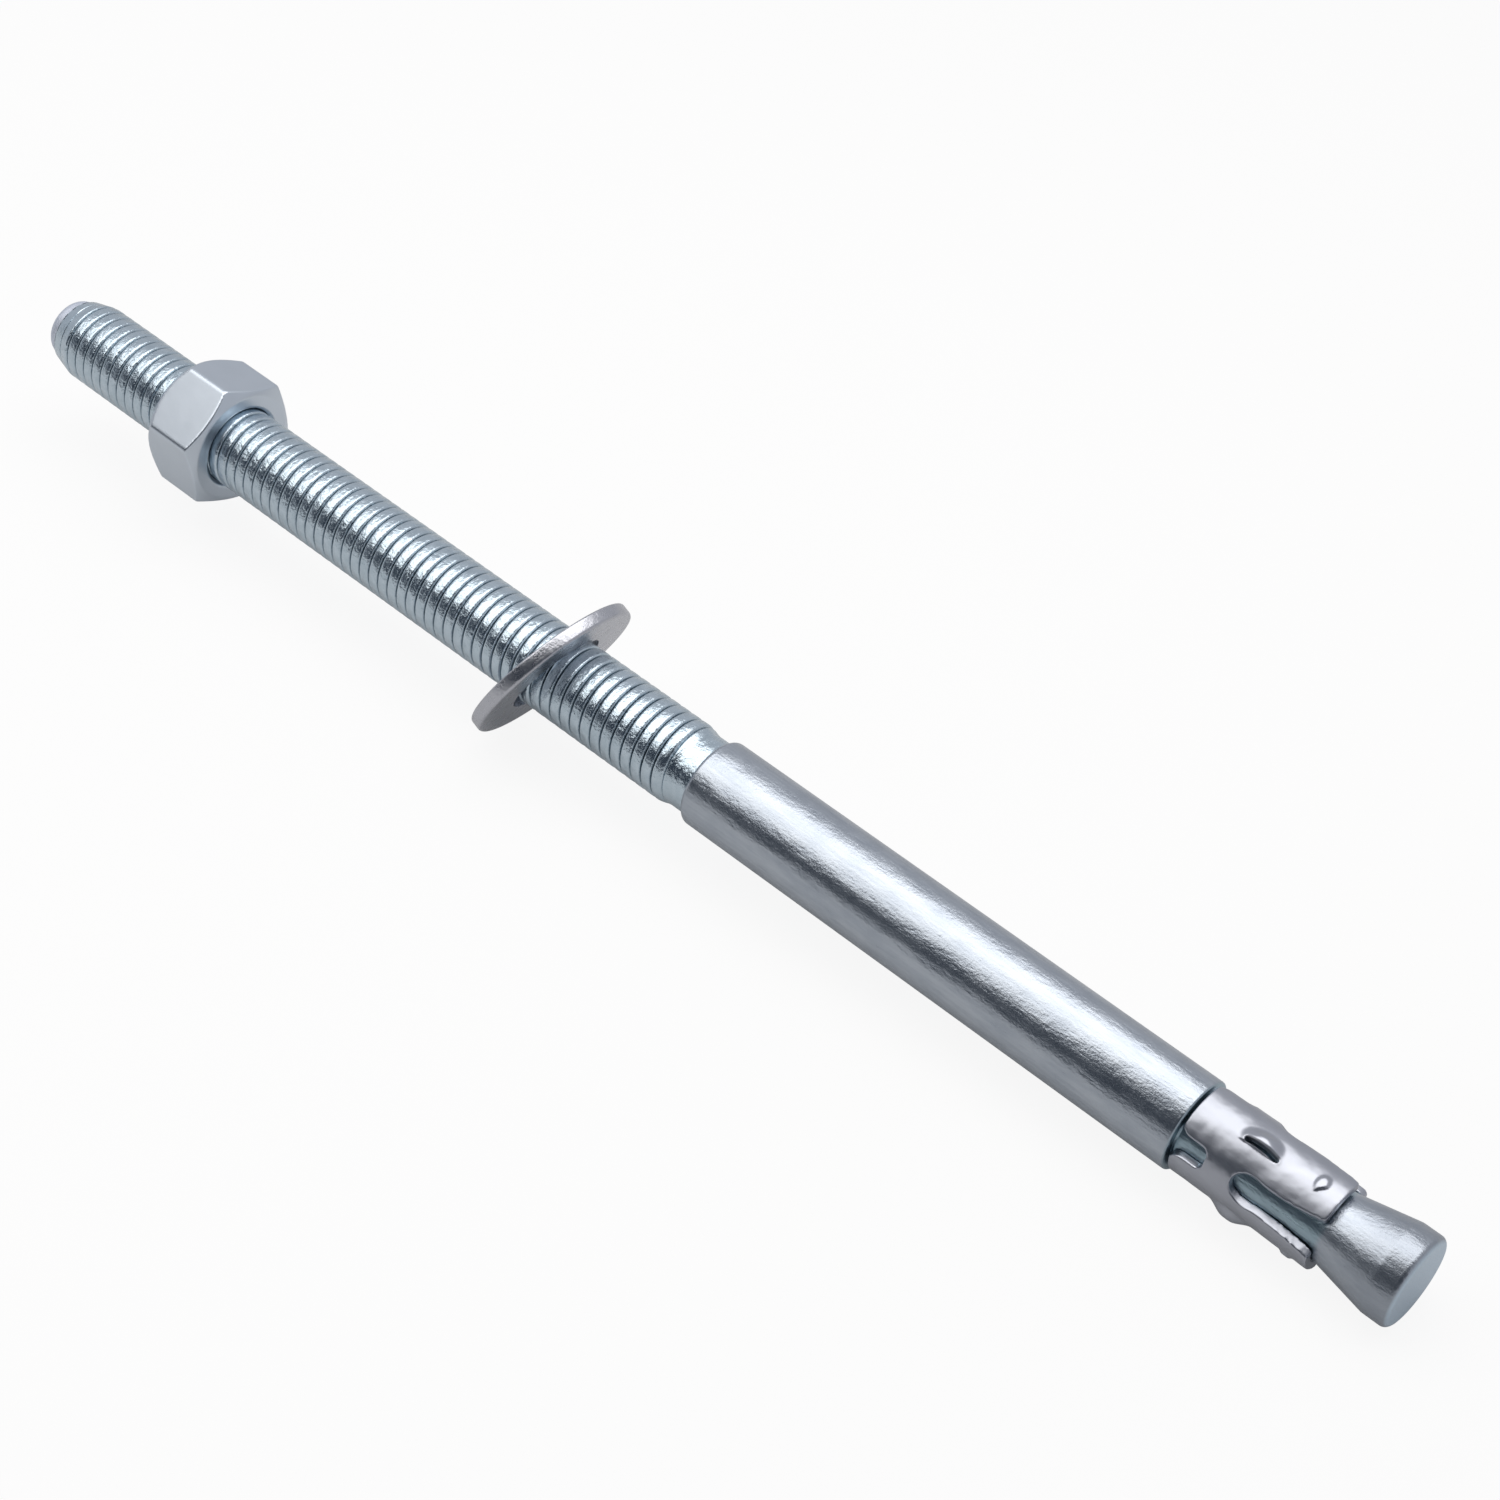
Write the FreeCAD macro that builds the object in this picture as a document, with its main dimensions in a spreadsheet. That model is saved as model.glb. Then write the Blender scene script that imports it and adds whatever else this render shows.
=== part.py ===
import FreeCAD, Part

import math
import os

import Sketcher

# Wedge anchor (through bolt) lying on a table.
# Every piece is drawn about the anchor's own axis: x = 0 is the flat end face of the cone,
# the shank and the thread run towards -x, and the radius is measured from the X axis.
# At the end the pieces are set down the way the anchor comes to rest: on the washer's rim
# and on the cone end, with +Z up and the cone end towards +X.

# Driving dimensions in millimetres and degrees

DIMENSIONS = {
    "anchor_length": 254.0,
    "shank_diameter": 13.25,
    "shank_edge_break": 0.25,
    "end_rounding": 0.95,
    "land_length": 3.8,
    "cone_half_angle": 11.5,
    "seat_depth": 1.725,
    "shoulder_place": 116.4,
    "shoulder_rounding": 0.75,
    "neck_length": 2.8,
    "neck_depth": 0.875,
    "thread_depth": 0.375,
    "lead_in_length": 3.4,
    "lead_in_depth": 0.85,
    "nose_length": 2.7,
    "nose_step": 0.45,
    "nose_taper": 0.15,
    "nose_rounding": 1.6,
    "clip_thickness": 1.2,
    "clip_length": 21.2,
    "clip_seat_clearance": 0.09,
    "clip_collar_gap": 0.4,
    "clip_tip_lap": 0.38,
    "clip_tip_gap": 0.14,
    "clip_flare_length": 9.0,
    "clip_roll": 69.7,
    "slot_length": 12.7,
    "slot_head_radius": 2.55,
    "slot_waist": 4.4,
    "slot_waist_radius": 6.0,
    "slot_flare_radius": 26.0,
    "finger_corner_radius": 1.1,
    "notch_depth": 4.5,
    "notch_width": 3.4,
    "notch_corner_radius": 1.1,
    "notch_mouth_radius": 1.7,
    "lug_place": 11.75,
    "lug_angle": -47.5,
    "lug_turn": 0.0,
    "lug_length": 7.2,
    "lug_radius": 2.35,
    "lug_height": 1.1,
    "lug_wall": 0.55,
    "lug_lean": 20.0,
    "lug_opening": 0.7,
    "dimple_place": 2.75,
    "dimple_angle": -47.5,
    "dimple_turn": 42.0,
    "dimple_length": 2.9,
    "dimple_radius": 1.4,
    "dimple_height": 0.7,
    "dimple_wall": 0.4,
    "dimple_lean": 4.0,
    "dimple_opening": 0.15,
    "washer_diameter": 27.0,
    "washer_play": 2.6,
    "washer_thickness": 2.1,
    "washer_rim_break": 0.3,
    "washer_jam_clearance": 0.1,
    "washer_stand_off": 31.0,
    "nut_across_flats": 18.8,
    "nut_height": 11.1,
    "nut_corner_rounding": 0.7,
    "nut_bearing_margin": 0.75,
    "nut_bearing_chamfer": 28.0,
    "nut_top_margin": 0.75,
    "nut_top_chamfer": 45.0,
    "nut_thread_clearance": 0.08,
    "nut_countersink_width": 0.47,
    "nut_countersink_angle": 45.0,
    "nut_end_distance": 29.3,
    "nut_roll": -18.0,
}

doc = FreeCAD.newDocument("wedge_anchor")
sheet = doc.addObject("Spreadsheet::Sheet", "Sizes")
for row, (alias, value) in enumerate(DIMENSIONS.items(), start=1):
    sheet.set(f"A{row}", alias)
    sheet.set(f"B{row}", str(value))
    sheet.setAlias(f"B{row}", alias)
doc.recompute()


def value_of(expression):
    """The number that an expression on the sheet gives."""
    result = sheet.evalExpression(expression)
    return float(getattr(result, "Value", result))


def size(alias):
    """One of the driving dimensions."""
    return float(sheet.get(alias))


# Tools of the sketches and features


def new_body(label):
    body = doc.addObject("PartDesign::Body", label)
    body.Label = label
    return body


def origin_item(body, role):
    """One of the body's own planes or axes."""
    for item in body.Origin.OriginFeatures:
        if item.Role == role:
            return item
    raise ValueError(f"{body.Label} has no {role}")


def new_sketch(body, name, plane):
    sketch = body.newObject("Sketcher::SketchObject", name)
    sketch.AttachmentSupport = (origin_item(body, plane), [""])
    sketch.MapMode = "FlatFace"
    return sketch


def bind(sketch, constraint, expression):
    """Add a dimension to a sketch and tie it to the sheet."""
    index = sketch.addConstraint(constraint)
    sketch.setExpression(f"Constraints[{index}]", expression)


def place_point(sketch, line, end, across, along):
    """Hold one end of a line at two expressions; None keeps it on that axis."""
    if across is None:
        sketch.addConstraint(Sketcher.Constraint("PointOnObject", line, end, -2))
    else:
        bind(sketch, Sketcher.Constraint("DistanceX", -1, 1, line, end, value_of(across)), across)
    if along is None:
        sketch.addConstraint(Sketcher.Constraint("PointOnObject", line, end, -1))
    else:
        bind(sketch, Sketcher.Constraint("DistanceY", -1, 1, line, end, value_of(along)), along)


def outline(body, name, plane, corners):
    """A closed outline of straight lines through corners given as pairs of expressions."""
    sketch = new_sketch(body, name, plane)
    points = []
    for across, along in corners:
        x = 0.0 if across is None else value_of(across)
        y = 0.0 if along is None else value_of(along)
        points.append(FreeCAD.Vector(x, y, 0))
    count = len(points)
    for index in range(count):
        sketch.addGeometry(Part.LineSegment(points[index], points[(index + 1) % count]), False)
    for index in range(count):
        joint = Sketcher.Constraint("Coincident", index, 2, (index + 1) % count, 1)
        sketch.addConstraint(joint)
    for index, (across, along) in enumerate(corners):
        place_point(sketch, index, 1, across, along)
    return sketch


def revolve(body, name, sketch, cut=False, angle=360):
    """Turn an outline round its own horizontal axis, which is the anchor's unless it was moved."""
    feature = body.newObject("PartDesign::Groove" if cut else "PartDesign::Revolution", name)
    feature.Profile = sketch
    feature.ReferenceAxis = (sketch, ["H_Axis"])
    feature.Angle = angle
    doc.recompute()
    return feature


def edges_where(feature, test):
    names = []
    for index, edge in enumerate(feature.Shape.Edges, start=1):
        if test(edge):
            names.append(f"Edge{index}")
    if not names:
        raise ValueError(f"no edge found on {feature.Name}")
    return names


def ring_at(x, radius):
    """Picks the full circles about the anchor's axis at one place and radius."""
    def test(edge):
        curve = edge.Curve
        if not isinstance(curve, Part.Circle):
            return False
        same_place = abs(curve.Center.x - x) < 1e-4
        return same_place and abs(curve.Radius - radius) < 1e-4
    return test


def soften(body, name, base, edges, expression, kind="Fillet"):
    """Round or bevel some edges of the last feature by a size on the sheet."""
    feature = body.newObject(f"PartDesign::{kind}", name)
    feature.Base = (base, edges)
    feature.setExpression("Radius" if kind == "Fillet" else "Size", expression)
    doc.recompute()
    return feature


def check_cut(body, name, before):
    """A pocket or groove has to take something away."""
    after = body.Shape.Volume
    if after >= before - 1e-6:
        raise ValueError(f"{name} cuts nothing")
    return after


# Places along the anchor, counted from the cone end, and radii. The seat is as long as the
# clip needs, and every diameter is a depth below the shank.

SHANK_RADIUS = "(Sizes.shank_diameter / 2)"
SEAT_RADIUS = f"({SHANK_RADIUS} - Sizes.seat_depth)"
NECK_RADIUS = f"({SHANK_RADIUS} - Sizes.neck_depth)"
THREAD_RADIUS = f"({SHANK_RADIUS} - Sizes.thread_depth)"
LEAD_IN_RADIUS = f"({THREAD_RADIUS} - Sizes.lead_in_depth)"
NOSE_BASE_RADIUS = f"({LEAD_IN_RADIUS} - Sizes.nose_step)"
NOSE_RADIUS = f"({NOSE_BASE_RADIUS} - Sizes.nose_taper)"

SEAT_START = "(Sizes.land_length + Sizes.seat_depth / tan(Sizes.cone_half_angle * 1deg))"
CLIP_TIP = f"({SEAT_START} - Sizes.clip_tip_lap)"
CLIP_TOP = f"({CLIP_TIP} + Sizes.clip_length)"
SEAT_END = f"({CLIP_TOP} + Sizes.clip_collar_gap)"
NECK_END = "(Sizes.shoulder_place + Sizes.neck_length)"
THREAD_START = f"({NECK_END} + {THREAD_RADIUS} - {NECK_RADIUS})"
NOSE_START = "(Sizes.anchor_length - Sizes.nose_length)"
LEAD_IN_START = f"({NOSE_START} - Sizes.lead_in_length)"
WASHER_PLACE = "(Sizes.shoulder_place + Sizes.washer_stand_off)"
NUT_PLACE = "(Sizes.anchor_length - Sizes.nut_end_distance - Sizes.nut_height)"

# How far a cutting shape runs past what it cuts
CUT_MARGIN = 1.0


# Stud: shank, cone end, clip seat and threaded end, forged and rolled as one piece


def build_stud():
    body = new_body("stud")
    sketch = outline(body, "stud_profile", "XZ_Plane", [
        (None, None),
        (None, SHANK_RADIUS),
        ("-Sizes.land_length", SHANK_RADIUS),
        (f"-{SEAT_START}", SEAT_RADIUS),
        (f"-{SEAT_END}", SEAT_RADIUS),
        (f"-{SEAT_END}", SHANK_RADIUS),
        ("-Sizes.shoulder_place", SHANK_RADIUS),
        ("-Sizes.shoulder_place", NECK_RADIUS),
        (f"-{NECK_END}", NECK_RADIUS),
        (f"-{THREAD_START}", THREAD_RADIUS),
        (f"-{LEAD_IN_START}", THREAD_RADIUS),
        (f"-{NOSE_START}", LEAD_IN_RADIUS),
        (f"-{NOSE_START}", NOSE_BASE_RADIUS),
        ("-Sizes.anchor_length", NOSE_RADIUS),
        ("-Sizes.anchor_length", None),
    ])
    turned = revolve(body, "stud_turned", sketch)

    shank_radius = value_of(SHANK_RADIUS)
    cone_rim = edges_where(turned, ring_at(0.0, shank_radius))
    rounded_end = soften(body, "cone_end_rounding", turned, cone_rim, "Sizes.end_rounding")

    shoulder_rim = edges_where(rounded_end, ring_at(-size("shoulder_place"), shank_radius))
    rounded_shoulder = soften(
        body, "shoulder_rounding", rounded_end, shoulder_rim, "Sizes.shoulder_rounding")

    nose_rim = edges_where(
        rounded_shoulder, ring_at(-size("anchor_length"), value_of(NOSE_RADIUS)))
    rounded_nose = soften(body, "nose_rounding", rounded_shoulder, nose_rim, "Sizes.nose_rounding")

    collar_rim = edges_where(rounded_nose, ring_at(-value_of(SEAT_END), shank_radius))
    soften(body, "shank_edge_break", rounded_nose, collar_rim, "Sizes.shank_edge_break", "Chamfer")
    return body


# Expansion clip: one strip, punched flat with slots, notches and pressed lugs, then rolled
# round the seat. Its fingers point at the cone and are already a little spread by it.

CLIP_FINGERS = 3
CLIP_INNER = f"({SEAT_RADIUS} + Sizes.clip_seat_clearance)"
CLIP_OUTER = f"({CLIP_INNER} + Sizes.clip_thickness)"
CLIP_FLARE = "(Sizes.clip_tip_lap * tan(Sizes.cone_half_angle * 1deg) + Sizes.clip_tip_gap)"
CLIP_FLARE_START = f"({CLIP_TIP} + Sizes.clip_flare_length)"

# The cuts were punched in the flat strip, so their walls point at the axis once it is rolled.
# They are drawn above the clip, and grow narrower on the way in.
CUT_HEIGHT = f"({CLIP_OUTER} + {CLIP_FLARE} + {CUT_MARGIN})"
CUT_FLOOR = f"({SEAT_RADIUS} / 2)"
CUT_OVERRUN = f"({CUT_HEIGHT} / 2)"
SLOT_DRAFT = f"asin(Sizes.slot_waist / 2 / {CLIP_OUTER})"
SLOT_GROWTH = f"({CUT_HEIGHT} * tan({SLOT_DRAFT}) - Sizes.slot_waist / 2)"
NOTCH_DRAFT = f"asin(Sizes.notch_width / 2 / {CLIP_OUTER})"
NOTCH_GROWTH = f"({CUT_HEIGHT} * tan({NOTCH_DRAFT}) - Sizes.notch_width / 2)"


class Loop:
    """A closed sketch outline of lines and arcs, joined end to end as they are added."""

    def __init__(self, sketch):
        self.sketch = sketch
        self.pieces = []

    def line(self, start, end):
        geometry = Part.LineSegment(FreeCAD.Vector(*start, 0), FreeCAD.Vector(*end, 0))
        index = self.sketch.addGeometry(geometry, False)
        self.pieces.append((index, 1, 2, "Coincident"))
        return index

    def arc(self, centre, radius, start, end, expression):
        """An arc from one direction to another; a falling direction runs it clockwise."""
        circle = Part.Circle(FreeCAD.Vector(*centre, 0), FreeCAD.Vector(0, 0, 1), radius)
        clockwise = end < start
        low, high = (end, start) if clockwise else (start, end)
        index = self.sketch.addGeometry(Part.ArcOfCircle(circle, low, high), False)
        first, last = (2, 1) if clockwise else (1, 2)
        self.pieces.append((index, first, last, "Tangent"))
        bind(self.sketch, Sketcher.Constraint("Radius", index, radius), expression)
        return index

    def close(self):
        """Arcs run on smoothly into their neighbours, unless a line was marked as a corner."""
        count = len(self.pieces)
        for position, (index, first, last, kind) in enumerate(self.pieces):
            follower, follower_first, _, follower_kind = self.pieces[(position + 1) % count]
            smooth = "Tangent" in (kind, follower_kind) and "Corner" not in (kind, follower_kind)
            name = "Tangent" if smooth else "Coincident"
            joint = Sketcher.Constraint(name, index, last, follower, follower_first)
            self.sketch.addConstraint(joint)

    def corner_line(self, start, end):
        """A line that meets both neighbours at an angle."""
        index = self.line(start, end)
        self.pieces[-1] = (index, 1, 2, "Corner")
        return index


def hold_x(sketch, geometry, vertex, expression):
    constraint = Sketcher.Constraint("DistanceX", -1, 1, geometry, vertex, value_of(expression))
    bind(sketch, constraint, expression)


def hold_y(sketch, geometry, vertex, expression):
    constraint = Sketcher.Constraint("DistanceY", -1, 1, geometry, vertex, value_of(expression))
    bind(sketch, constraint, expression)


def raised_sketch(body, name):
    """A sketch level with the anchor's axis, held above the clip."""
    sketch = new_sketch(body, name, "XY_Plane")
    sketch.setExpression("AttachmentOffset.Base.z", CUT_HEIGHT)
    return sketch


def slot_sketch(body):
    """Keyhole slot between two fingers: round head, narrow waist, mouth flared to the tips."""
    sketch = raised_sketch(body, "slot_outline")
    loop = Loop(sketch)
    head_size = f"Sizes.slot_head_radius + {SLOT_GROWTH}"
    waist_size = f"Sizes.slot_waist / 2 + {SLOT_GROWTH}"
    bulge_size = f"Sizes.slot_waist_radius - {SLOT_GROWTH}"
    flare_size = f"Sizes.slot_flare_radius - {SLOT_GROWTH}"
    corner_size = f"Sizes.finger_corner_radius - {SLOT_GROWTH}"
    mouth_place = f"-{CLIP_TIP} + {CUT_OVERRUN}"
    head = value_of(head_size)
    waist = value_of(waist_size)
    bulge = value_of(bulge_size)
    flare = value_of(flare_size)
    corner = value_of(corner_size)
    tip = -value_of(CLIP_TIP)
    head_x = tip - size("slot_length") + size("slot_head_radius")
    waist_x = head_x + math.sqrt((head + bulge) ** 2 - (waist + bulge) ** 2)
    corner_x = tip - corner
    corner_y = waist + flare - math.sqrt((flare - corner) ** 2 - (corner_x - waist_x) ** 2)
    mouth_x = value_of(mouth_place)
    meet = math.atan2(waist + bulge, waist_x - head_x)
    turn = math.atan2(corner_y - waist - flare, corner_x - waist_x)
    down = -math.pi / 2

    head_arc = loop.arc((head_x, 0), head, 2 * math.pi - meet, meet, head_size)
    upper_bulge = loop.arc((waist_x, waist + bulge), bulge, meet - math.pi, down, bulge_size)
    upper_flare = loop.arc((waist_x, waist + flare), flare, down, turn, flare_size)
    upper_corner = loop.arc((corner_x, corner_y), corner, turn, 0.0, corner_size)
    upper_lip = loop.corner_line((tip, corner_y), (mouth_x, corner_y))
    mouth = loop.corner_line((mouth_x, corner_y), (mouth_x, -corner_y))
    lower_lip = loop.corner_line((mouth_x, -corner_y), (tip, -corner_y))
    lower_corner = loop.arc((corner_x, -corner_y), corner, 0.0, -turn, corner_size)
    lower_flare = loop.arc((waist_x, -waist - flare), flare, -turn, -down, flare_size)
    lower_bulge = loop.arc((waist_x, -waist - bulge), bulge, -down, math.pi - meet, bulge_size)
    loop.close()

    sketch.addConstraint(Sketcher.Constraint("PointOnObject", head_arc, 3, -1))
    hold_x(sketch, head_arc, 3, f"-{CLIP_TIP} - Sizes.slot_length + Sizes.slot_head_radius")
    hold_y(sketch, upper_bulge, 2, waist_size)
    hold_y(sketch, lower_bulge, 1, f"-({waist_size})")
    sketch.addConstraint(Sketcher.Constraint("Vertical", upper_bulge, 3, upper_bulge, 2))
    sketch.addConstraint(Sketcher.Constraint("Vertical", lower_bulge, 3, lower_bulge, 1))
    sketch.addConstraint(Sketcher.Constraint("Horizontal", upper_corner, 3, upper_corner, 2))
    sketch.addConstraint(Sketcher.Constraint("Horizontal", lower_corner, 3, lower_corner, 1))
    hold_x(sketch, upper_lip, 1, f"-{CLIP_TIP}")
    hold_x(sketch, lower_lip, 2, f"-{CLIP_TIP}")
    sketch.addConstraint(Sketcher.Constraint("Horizontal", upper_lip))
    sketch.addConstraint(Sketcher.Constraint("Horizontal", lower_lip))
    sketch.addConstraint(Sketcher.Constraint("Vertical", mouth))
    hold_x(sketch, mouth, 1, mouth_place)
    return sketch


def notch_sketch(body):
    """Notch in the clip's top edge, in line with the slot, with a widely rounded mouth."""
    sketch = raised_sketch(body, "notch_outline")
    loop = Loop(sketch)
    half_size = f"Sizes.notch_width / 2 + {NOTCH_GROWTH}"
    corner_size = f"Sizes.notch_corner_radius + {NOTCH_GROWTH}"
    mouth_size = f"Sizes.notch_mouth_radius - {NOTCH_GROWTH}"
    outside_place = f"-{CLIP_TOP} - {CUT_OVERRUN}"
    half = value_of(half_size)
    corner = value_of(corner_size)
    mouth = value_of(mouth_size)
    top = -value_of(CLIP_TOP)
    bottom = top + size("notch_depth")
    outside = value_of(outside_place)
    up = math.pi / 2

    floor_line = loop.line((bottom, -half + corner), (bottom, half - corner))
    upper_corner = loop.arc((bottom - corner, half - corner), corner, 0.0, up, corner_size)
    upper_side = loop.line((bottom - corner, half), (top + mouth, half))
    upper_mouth = loop.arc((top + mouth, half + mouth), mouth, -up, -2 * up, mouth_size)
    upper_lip = loop.corner_line((top, half + mouth), (outside, half + mouth))
    back = loop.corner_line((outside, half + mouth), (outside, -half - mouth))
    lower_lip = loop.corner_line((outside, -half - mouth), (top, -half - mouth))
    lower_mouth = loop.arc((top + mouth, -half - mouth), mouth, 2 * up, up, mouth_size)
    lower_side = loop.line((top + mouth, -half), (bottom - corner, -half))
    lower_corner = loop.arc((bottom - corner, -half + corner), corner, -up, 0.0, corner_size)
    loop.close()

    for line in (upper_side, upper_lip, lower_lip, lower_side):
        sketch.addConstraint(Sketcher.Constraint("Horizontal", line))
    for line in (floor_line, back):
        sketch.addConstraint(Sketcher.Constraint("Vertical", line))
    hold_x(sketch, floor_line, 1, f"-{CLIP_TOP} + Sizes.notch_depth")
    hold_y(sketch, upper_side, 1, half_size)
    hold_y(sketch, lower_side, 1, f"-({half_size})")
    hold_x(sketch, upper_lip, 1, f"-{CLIP_TOP}")
    hold_x(sketch, lower_lip, 2, f"-{CLIP_TOP}")
    sketch.addConstraint(Sketcher.Constraint("Horizontal", upper_mouth, 3, upper_mouth, 1))
    sketch.addConstraint(Sketcher.Constraint("Horizontal", lower_mouth, 3, lower_mouth, 2))
    hold_x(sketch, back, 1, outside_place)
    return sketch


def punched_cut(body, name, sketch, draft):
    """Cut an outline out of the wall on the +Z side, narrowing towards the axis."""
    before = body.Shape.Volume
    feature = body.newObject("PartDesign::Pocket", name)
    feature.Profile = sketch
    feature.Type = "Length"
    feature.setExpression("Length", f"{CUT_HEIGHT} - {CUT_FLOOR}")
    feature.setExpression("TaperAngle", f"-{draft}")
    doc.recompute()
    check_cut(body, name, before)
    return feature


def capsule_sketch(body, name, length, radius):
    """Half the outline of a capsule, on its own horizontal axis."""
    sketch = body.newObject("Sketcher::SketchObject", name)
    loop = Loop(sketch)
    end = value_of(radius)
    reach = value_of(f"{length} / 2")
    straight = reach - end
    left = loop.arc((-straight, 0), end, math.pi, math.pi / 2, radius)
    loop.line((-straight, end), (straight, end))
    right = loop.arc((straight, 0), end, math.pi / 2, 0.0, radius)
    base = loop.corner_line((reach, 0), (-reach, 0))
    loop.close()
    for geometry, vertex in ((left, 3), (right, 3), (base, 1), (base, 2)):
        sketch.addConstraint(Sketcher.Constraint("PointOnObject", geometry, vertex, -1))
    hold_x(sketch, left, 3, f"{radius} - {length} / 2")
    hold_x(sketch, right, 3, f"{length} / 2 - {radius}")
    return sketch


def pressed_form(body, prefix, finger, hollow):
    """Half a capsule on one finger: the strip sheared along a line and pushed outwards.

    It lies along the shear, and its flat side faces the opening.
    """
    name = f"{prefix}_hollow_{finger}" if hollow else f"{prefix}_{finger}"
    wall = f"Sizes.{prefix}_wall" if hollow else "0"
    length = f"(Sizes.{prefix}_length - 2 * {wall})"
    radius = f"(Sizes.{prefix}_radius - {wall})"
    sketch = capsule_sketch(body, f"{name}_outline", length, radius)
    angle = size(f"{prefix}_angle") + finger * 360 / CLIP_FINGERS
    around = FreeCAD.Rotation(FreeCAD.Vector(1, 0, 0), angle)
    leaning = FreeCAD.Rotation(FreeCAD.Vector(1, 0, 0), angle - size(f"{prefix}_lean"))
    turned = FreeCAD.Rotation(FreeCAD.Vector(0, 0, 1), size(f"{prefix}_turn"))
    upright = FreeCAD.Rotation(
        FreeCAD.Vector(-1, 0, 0), FreeCAD.Vector(0, 0, 1), FreeCAD.Vector(0, 1, 0), "XYZ")
    depth = size(f"{prefix}_radius") - size(f"{prefix}_height")
    root = FreeCAD.Vector(0, 0, value_of(CLIP_OUTER) - depth)
    opening = FreeCAD.Vector(0, -size(f"{prefix}_opening"), 0) if hollow else FreeCAD.Vector()
    place = -value_of(CLIP_TIP) - size(f"{prefix}_place")
    centre = FreeCAD.Vector(place, 0, 0) + around.multVec(root) + (leaning * turned).multVec(opening)
    sketch.Placement = FreeCAD.Placement(centre, leaning * turned * upright)
    return revolve(body, name, sketch, cut=hollow, angle=180)


def round_the_clip(body, name, originals):
    """Repeat features once for every finger."""
    pattern = body.newObject("PartDesign::PolarPattern", name)
    pattern.Originals = originals
    pattern.Axis = (origin_item(body, "X_Axis"), [""])
    pattern.Angle = 360
    pattern.Occurrences = CLIP_FINGERS
    body.Tip = pattern
    doc.recompute()
    return pattern


def build_clip():
    body = new_body("expansion_clip")
    outside = outline(body, "clip_outside", "XZ_Plane", [
        (f"-{CLIP_TOP}", None),
        (f"-{CLIP_TIP}", None),
        (f"-{CLIP_TIP}", f"{CLIP_OUTER} + {CLIP_FLARE}"),
        (f"-{CLIP_FLARE_START}", CLIP_OUTER),
        (f"-{CLIP_TOP}", CLIP_OUTER),
    ])
    revolve(body, "clip_sleeve", outside)

    for finger in range(CLIP_FINGERS):
        pressed_form(body, "lug", finger, hollow=False)
        pressed_form(body, "dimple", finger, hollow=False)

    inside = outline(body, "clip_inside", "XZ_Plane", [
        (f"-{CLIP_TOP} - {CUT_MARGIN}", None),
        (f"-{CLIP_TIP} + {CUT_MARGIN}", None),
        (f"-{CLIP_TIP} + {CUT_MARGIN}", f"{CLIP_INNER} + {CLIP_FLARE}"),
        (f"-{CLIP_TIP}", f"{CLIP_INNER} + {CLIP_FLARE}"),
        (f"-{CLIP_FLARE_START}", CLIP_INNER),
        (f"-{CLIP_TOP} - {CUT_MARGIN}", CLIP_INNER),
    ])
    before = body.Shape.Volume
    revolve(body, "clip_bore", inside, cut=True)
    check_cut(body, "clip_bore", before)

    for finger in range(CLIP_FINGERS):
        before = body.Shape.Volume
        pressed_form(body, "lug", finger, hollow=True)
        before = check_cut(body, "lug_hollow", before)
        pressed_form(body, "dimple", finger, hollow=True)
        check_cut(body, "dimple_hollow", before)

    slot = punched_cut(body, "slot", slot_sketch(body), SLOT_DRAFT)
    notch = punched_cut(body, "notch", notch_sketch(body), NOTCH_DRAFT)
    round_the_clip(body, "cuts_between_fingers", [slot, notch])
    return body


# Flat washer: punched, its rims broken, leaning on the thread until it jams

WASHER_HOLE_RADIUS = f"({THREAD_RADIUS} + Sizes.washer_play / 2)"


def ring_sketch(body, name, expressions):
    sketch = new_sketch(body, name, "YZ_Plane")
    for expression in expressions:
        circle = Part.Circle(FreeCAD.Vector(), FreeCAD.Vector(0, 0, 1), value_of(expression))
        index = sketch.addGeometry(circle, False)
        sketch.addConstraint(Sketcher.Constraint("Coincident", index, 3, -1, 1))
        bind(sketch, Sketcher.Constraint("Radius", index, value_of(expression)), expression)
    return sketch


def build_washer():
    body = new_body("flat_washer")
    ring = body.newObject("PartDesign::Pad", "washer_blank")
    ring.Profile = ring_sketch(
        body, "washer_outline", ["Sizes.washer_diameter / 2", WASHER_HOLE_RADIUS])
    ring.setExpression("Length", "Sizes.washer_thickness")
    ring.Midplane = True
    doc.recompute()
    half = size("washer_thickness") / 2
    radius = size("washer_diameter") / 2
    rims = edges_where(ring, ring_at(half, radius)) + edges_where(ring, ring_at(-half, radius))
    soften(body, "washer_rim", ring, rims, "Sizes.washer_rim_break", "Chamfer")
    return body


# Hex nut: bearing face at x = 0 towards the washer, top towards the nose, both with bevelled
# corners. The bore is plain and clears the thread.

NUT_BORE = f"({THREAD_RADIUS} + Sizes.nut_thread_clearance)"
NUT_FLAT = "(Sizes.nut_across_flats / 2)"
NUT_CORNER = "(Sizes.nut_across_flats / sqrt(3))"
NUT_BEYOND = f"({NUT_CORNER} + {CUT_MARGIN})"


def bevel_corners(body, name, face, inward, margin, angle):
    """Turn the hexagon's corners down to a cone that leaves a round face."""
    radius = f"({NUT_FLAT} - {margin})"
    drop = f"{inward} * ({NUT_BEYOND} - {radius}) * tan({angle} * 1deg)"
    before = body.Shape.Volume
    sketch = outline(body, f"{name}_profile", "XZ_Plane", [
        (face, radius),
        (f"{face} + {drop}", NUT_BEYOND),
        (f"{face} - {inward} * {CUT_MARGIN}", NUT_BEYOND),
        (f"{face} - {inward} * {CUT_MARGIN}", radius),
    ])
    revolve(body, name, sketch, cut=True)
    check_cut(body, name, before)


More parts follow.
